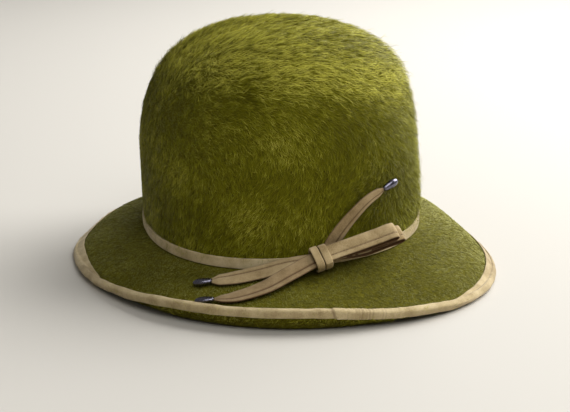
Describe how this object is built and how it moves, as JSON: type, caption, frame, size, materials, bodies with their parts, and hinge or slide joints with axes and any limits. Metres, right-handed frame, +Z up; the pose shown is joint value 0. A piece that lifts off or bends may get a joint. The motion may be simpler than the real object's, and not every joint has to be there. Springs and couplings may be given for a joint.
{
  "type": "cloche hat",
  "caption": "Felt cloche hat with a tall rounded crown, long nap, a short fabric-bound brim rolled up along one side, and a narrow strip bow at the crown's base.",
  "frame": {"origin": "on the surface the brim stands on, below the middle of the whole hat", "axes": "+Z up through the crown; -Y the near side with the bow, taken as the hat's back; +X to the right of someone who faces the bow"},
  "size_m": [0.249, 0.3056, 0.1407],
  "materials": {
    "nap_felt": "long glossy nap, olive green",
    "trim_cloth": "satin, olive tan",
    "dark_metal": "dark gunmetal, polished"
  },
  "bodies": {
    "root": {"crown": "nap_felt", "brim": "nap_felt", "brim_binding": "trim_cloth", "crown_band": "trim_cloth", "bow_knot": "trim_cloth", "bow_loop_front": "trim_cloth", "bow_loop_rear": "trim_cloth", "tail_upper_left": "trim_cloth", "tail_lower_left": "trim_cloth", "tail_right": "trim_cloth", "tip_upper_left": "dark_metal", "tip_lower_left": "dark_metal", "tip_right": "dark_metal"}
  },
  "joints": []
}
